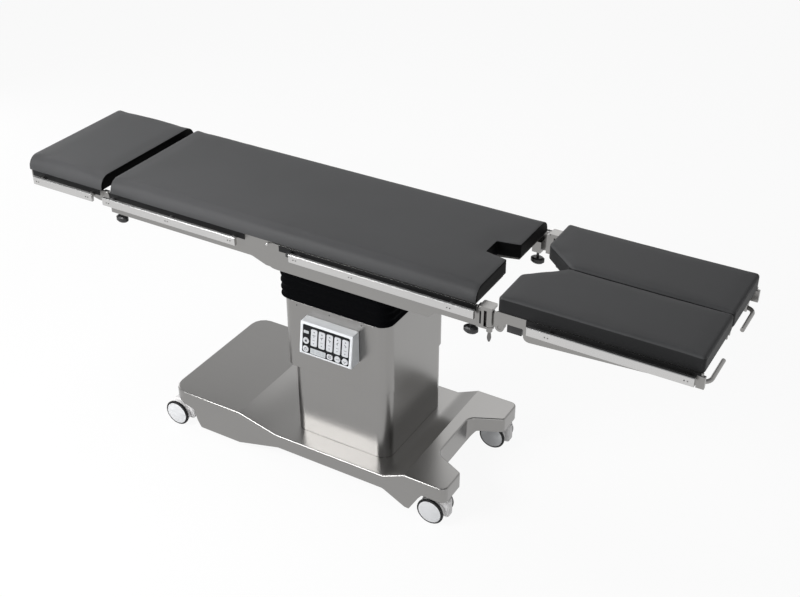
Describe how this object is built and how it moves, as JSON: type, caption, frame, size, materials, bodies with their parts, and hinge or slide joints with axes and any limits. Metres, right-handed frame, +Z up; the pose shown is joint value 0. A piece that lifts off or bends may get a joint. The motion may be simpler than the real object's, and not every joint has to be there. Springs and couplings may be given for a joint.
{
  "type": "operating table",
  "caption": "Sectional surgical table: stepped steel base on twin casters, telescopic tilting column with key panel, padded head, back, seat and split legs.",
  "frame": {"origin": "on the floor, at the centre of the table's plan outline", "axes": "+X towards the leg sections, +Y towards the patient's left side, away from the control panel, +Z up"},
  "size_m": [2.166, 0.5, 0.832],
  "materials": {
    "shell_steel": "brushed stainless sheet",
    "bright_steel": "satin stainless",
    "dark_steel": "dark grey satin",
    "dark_paint": "matte dark coating",
    "pad": "matte black upholstery with a slight sheen",
    "bellows_rubber": "matte black rubber",
    "housing_white": "pale grey moulded plastic",
    "caster_white": "pale grey plastic discs with black treads",
    "hood_grey": "pale grey plastic",
    "key_grey": "pale grey keys",
    "membrane": "black membrane",
    "board": "pale display window",
    "laminate": "dark radiolucent laminate",
    "knob_black": "black moulded plastic"
  },
  "bodies": {
    "base": {"base_shell": "shell_steel", "base_chassis": "dark_paint", "battery_pack": "dark_paint", "lower_column_sleeve": "shell_steel", "lift_cylinder": "bright_steel"},
    "middle": {"middle_column_sleeve": "shell_steel"},
    "column_top": {"upper_column_sleeve": "shell_steel", "column_head": "dark_steel", "lift_rod": "bright_steel", "lower_bellows": "bellows_rubber", "panel_housing": "housing_white", "panel_faceplate": "membrane", "panel_board": "board"},
    "gimbal": {"gimbal_cross": "bright_steel"},
    "seat": {"seat_frame": "bright_steel", "seat_panel": "laminate", "seat_pad": "pad", "pad_fold": "pad", "upper_bellows": "bellows_rubber", "seat_rail_right": "bright_steel", "seat_rail_left": "bright_steel"},
    "back": {"back_frame": "bright_steel", "back_panel": "laminate", "back_pad": "pad", "back_rail_right": "bright_steel", "back_rail_left": "bright_steel"},
    "head": {"head_frame": "bright_steel", "head_panel": "laminate", "head_pad": "pad"},
    "caster_head_right": {"caster_hood_head_right": "hood_grey"},
    "wheels_head_right": {"caster_wheels_head_right": "caster_white"},
    "caster_head_left": {"caster_hood_head_left": "hood_grey"},
    "wheels_head_left": {"caster_wheels_head_left": "caster_white"},
    "caster_foot_right": {"caster_hood_foot_right": "hood_grey"},
    "wheels_foot_right": {"caster_wheels_foot_right": "caster_white"},
    "caster_foot_left": {"caster_hood_foot_left": "hood_grey"},
    "wheels_foot_left": {"caster_wheels_foot_left": "caster_white"},
    "post_right": {"leg_post_right": "bright_steel"},
    "leg_right": {"leg_frame_right": "bright_steel", "leg_pad_right": "pad"},
    "lock_right": {"lock_handle_right": "dark_steel"},
    "head_knob_right": {"head_knob_right_body": "knob_black"},
    "seat_knob_right": {"seat_knob_right_body": "knob_black"},
    "post_left": {"leg_post_left": "bright_steel"},
    "leg_left": {"leg_frame_left": "bright_steel", "leg_pad_left": "pad"},
    "lock_left": {"lock_handle_left": "dark_steel"},
    "head_knob_left": {"head_knob_left_body": "knob_black"},
    "seat_knob_left": {"seat_knob_left_body": "knob_black"},
    "key_lift": {"button_lift": "key_grey"},
    "key_tilt": {"button_tilt": "key_grey"},
    "key_lateral": {"button_lateral": "key_grey"},
    "key_back": {"button_back": "key_grey"},
    "key_leg": {"button_leg": "key_grey"},
    "key_lock": {"button_lock": "key_grey"},
    "key_power": {"button_power": "key_grey"},
    "key_reverse": {"button_reverse": "key_grey"},
    "key_level": {"button_level": "key_grey"},
    "key_stop": {"button_stop": "key_grey"}
  },
  "joints": [
    {"name": "caster_head_right_swivel", "type": "hinge", "parent": "base", "child": "caster_head_right", "pos_m": [-0.565, -0.202, 0.043], "axis": [0, 0, 1], "continuous": true},
    {"name": "wheels_head_right_roll", "type": "hinge", "parent": "caster_head_right", "child": "wheels_head_right", "pos_m": [-0.583, -0.202, 0.043], "axis": [0, 1, 0], "continuous": true},
    {"name": "caster_head_left_swivel", "type": "hinge", "parent": "base", "child": "caster_head_left", "pos_m": [-0.565, 0.202, 0.043], "axis": [0, 0, 1], "continuous": true},
    {"name": "wheels_head_left_roll", "type": "hinge", "parent": "caster_head_left", "child": "wheels_head_left", "pos_m": [-0.583, 0.202, 0.043], "axis": [0, 1, 0], "continuous": true},
    {"name": "caster_foot_right_swivel", "type": "hinge", "parent": "base", "child": "caster_foot_right", "pos_m": [0.371, -0.202, 0.043], "axis": [0, 0, 1], "continuous": true},
    {"name": "wheels_foot_right_roll", "type": "hinge", "parent": "caster_foot_right", "child": "wheels_foot_right", "pos_m": [0.353, -0.202, 0.043], "axis": [0, 1, 0], "continuous": true},
    {"name": "caster_foot_left_swivel", "type": "hinge", "parent": "base", "child": "caster_foot_left", "pos_m": [0.371, 0.202, 0.043], "axis": [0, 0, 1], "continuous": true},
    {"name": "wheels_foot_left_roll", "type": "hinge", "parent": "caster_foot_left", "child": "wheels_foot_left", "pos_m": [0.353, 0.202, 0.043], "axis": [0, 1, 0], "continuous": true},
    {"name": "lift_slide", "type": "slide", "parent": "base", "child": "column_top", "axis": [0, 0, 1], "range_m": [-0.12, 0.13]},
    {"name": "middle_slide", "type": "slide", "parent": "base", "child": "middle", "axis": [0, 0, 1], "range_m": [-0.06, 0.065]},
    {"name": "table_tilt", "type": "hinge", "parent": "column_top", "child": "gimbal", "pos_m": [0.018, 0, 0.634], "axis": [0, 1, 0], "range_deg": [-25, 15], "deforming": ["lower_bellows", "upper_bellows"]},
    {"name": "table_lateral_tilt", "type": "hinge", "parent": "gimbal", "child": "seat", "pos_m": [0.018, 0, 0.634], "axis": [1, 0, 0], "range_deg": [-15, 15], "deforming": ["lower_bellows", "upper_bellows"]},
    {"name": "back_hinge", "type": "hinge", "parent": "seat", "child": "back", "pos_m": [-0.158, 0, 0.7465], "axis": [0, 1, 0], "range_deg": [-10, 75], "deforming": ["pad_fold"]},
    {"name": "head_hinge", "type": "hinge", "parent": "back", "child": "head", "pos_m": [-0.786, 0, 0.772], "axis": [0, 1, 0], "range_deg": [-60, 30]},
    {"name": "leg_right_spread", "type": "hinge", "parent": "seat", "child": "post_right", "pos_m": [0.5075, -0.2165, 0.741], "axis": [0, 0, 1], "range_deg": [-90, 0]},
    {"name": "leg_right_tilt", "type": "hinge", "parent": "post_right", "child": "leg_right", "pos_m": [0.5385, -0.2165, 0.741], "axis": [0, 1, 0], "range_deg": [-8, 90]},
    {"name": "lock_right_turn", "type": "hinge", "parent": "post_right", "child": "lock_right", "pos_m": [0.5075, -0.2165, 0.7], "axis": [0, 0, 1], "range_deg": [-90, 90]},
    {"name": "head_knob_right_turn", "type": "hinge", "parent": "back", "child": "head_knob_right", "pos_m": [-0.742, -0.2, 0.698], "axis": [0, 0, 1], "range_deg": [-360, 360]},
    {"name": "seat_knob_right_turn", "type": "hinge", "parent": "seat", "child": "seat_knob_right", "pos_m": [0.45, -0.2075, 0.698], "axis": [0, 0, 1], "range_deg": [-360, 360]},
    {"name": "leg_left_spread", "type": "hinge", "parent": "seat", "child": "post_left", "pos_m": [0.5075, 0.2165, 0.741], "axis": [0, 0, 1], "range_deg": [0, 90]},
    {"name": "leg_left_tilt", "type": "hinge", "parent": "post_left", "child": "leg_left", "pos_m": [0.5385, 0.2165, 0.741], "axis": [0, 1, 0], "range_deg": [-8, 90]},
    {"name": "lock_left_turn", "type": "hinge", "parent": "post_left", "child": "lock_left", "pos_m": [0.5075, 0.2165, 0.7], "axis": [0, 0, 1], "range_deg": [-90, 90]},
    {"name": "head_knob_left_turn", "type": "hinge", "parent": "back", "child": "head_knob_left", "pos_m": [-0.742, 0.2, 0.698], "axis": [0, 0, 1], "range_deg": [-360, 360]},
    {"name": "seat_knob_left_turn", "type": "hinge", "parent": "seat", "child": "seat_knob_left", "pos_m": [0.45, 0.2075, 0.698], "axis": [0, 0, 1], "range_deg": [-360, 360]},
    {"name": "key_lift_press", "type": "slide", "parent": "column_top", "child": "key_lift", "axis": [0, 0.99, -0.1409], "range_m": [0, 0.0012], "stiffness_N_per_m": 600},
    {"name": "key_tilt_press", "type": "slide", "parent": "column_top", "child": "key_tilt", "axis": [0, 0.99, -0.1409], "range_m": [0, 0.0012], "stiffness_N_per_m": 600},
    {"name": "key_lateral_press", "type": "slide", "parent": "column_top", "child": "key_lateral", "axis": [0, 0.99, -0.1409], "range_m": [0, 0.0012], "stiffness_N_per_m": 600},
    {"name": "key_back_press", "type": "slide", "parent": "column_top", "child": "key_back", "axis": [0, 0.99, -0.1409], "range_m": [0, 0.0012], "stiffness_N_per_m": 600},
    {"name": "key_leg_press", "type": "slide", "parent": "column_top", "child": "key_leg", "axis": [0, 0.99, -0.1409], "range_m": [0, 0.0012], "stiffness_N_per_m": 600},
    {"name": "key_lock_press", "type": "slide", "parent": "column_top", "child": "key_lock", "axis": [0, 0.99, -0.1409], "range_m": [0, 0.0012], "stiffness_N_per_m": 600},
    {"name": "key_power_press", "type": "slide", "parent": "column_top", "child": "key_power", "axis": [0, 0.99, -0.1409], "range_m": [0, 0.0012], "stiffness_N_per_m": 600},
    {"name": "key_reverse_press", "type": "slide", "parent": "column_top", "child": "key_reverse", "axis": [0, 0.99, -0.1409], "range_m": [0, 0.0012], "stiffness_N_per_m": 600},
    {"name": "key_level_press", "type": "slide", "parent": "column_top", "child": "key_level", "axis": [0, 0.99, -0.1409], "range_m": [0, 0.0012], "stiffness_N_per_m": 600},
    {"name": "key_stop_press", "type": "slide", "parent": "column_top", "child": "key_stop", "axis": [0, 0.99, -0.1409], "range_m": [0, 0.0012], "stiffness_N_per_m": 600}
  ],
  "couplings": [
    {"joint": "middle_slide", "follows": "lift_slide", "ratio": 0.5}
  ]
}
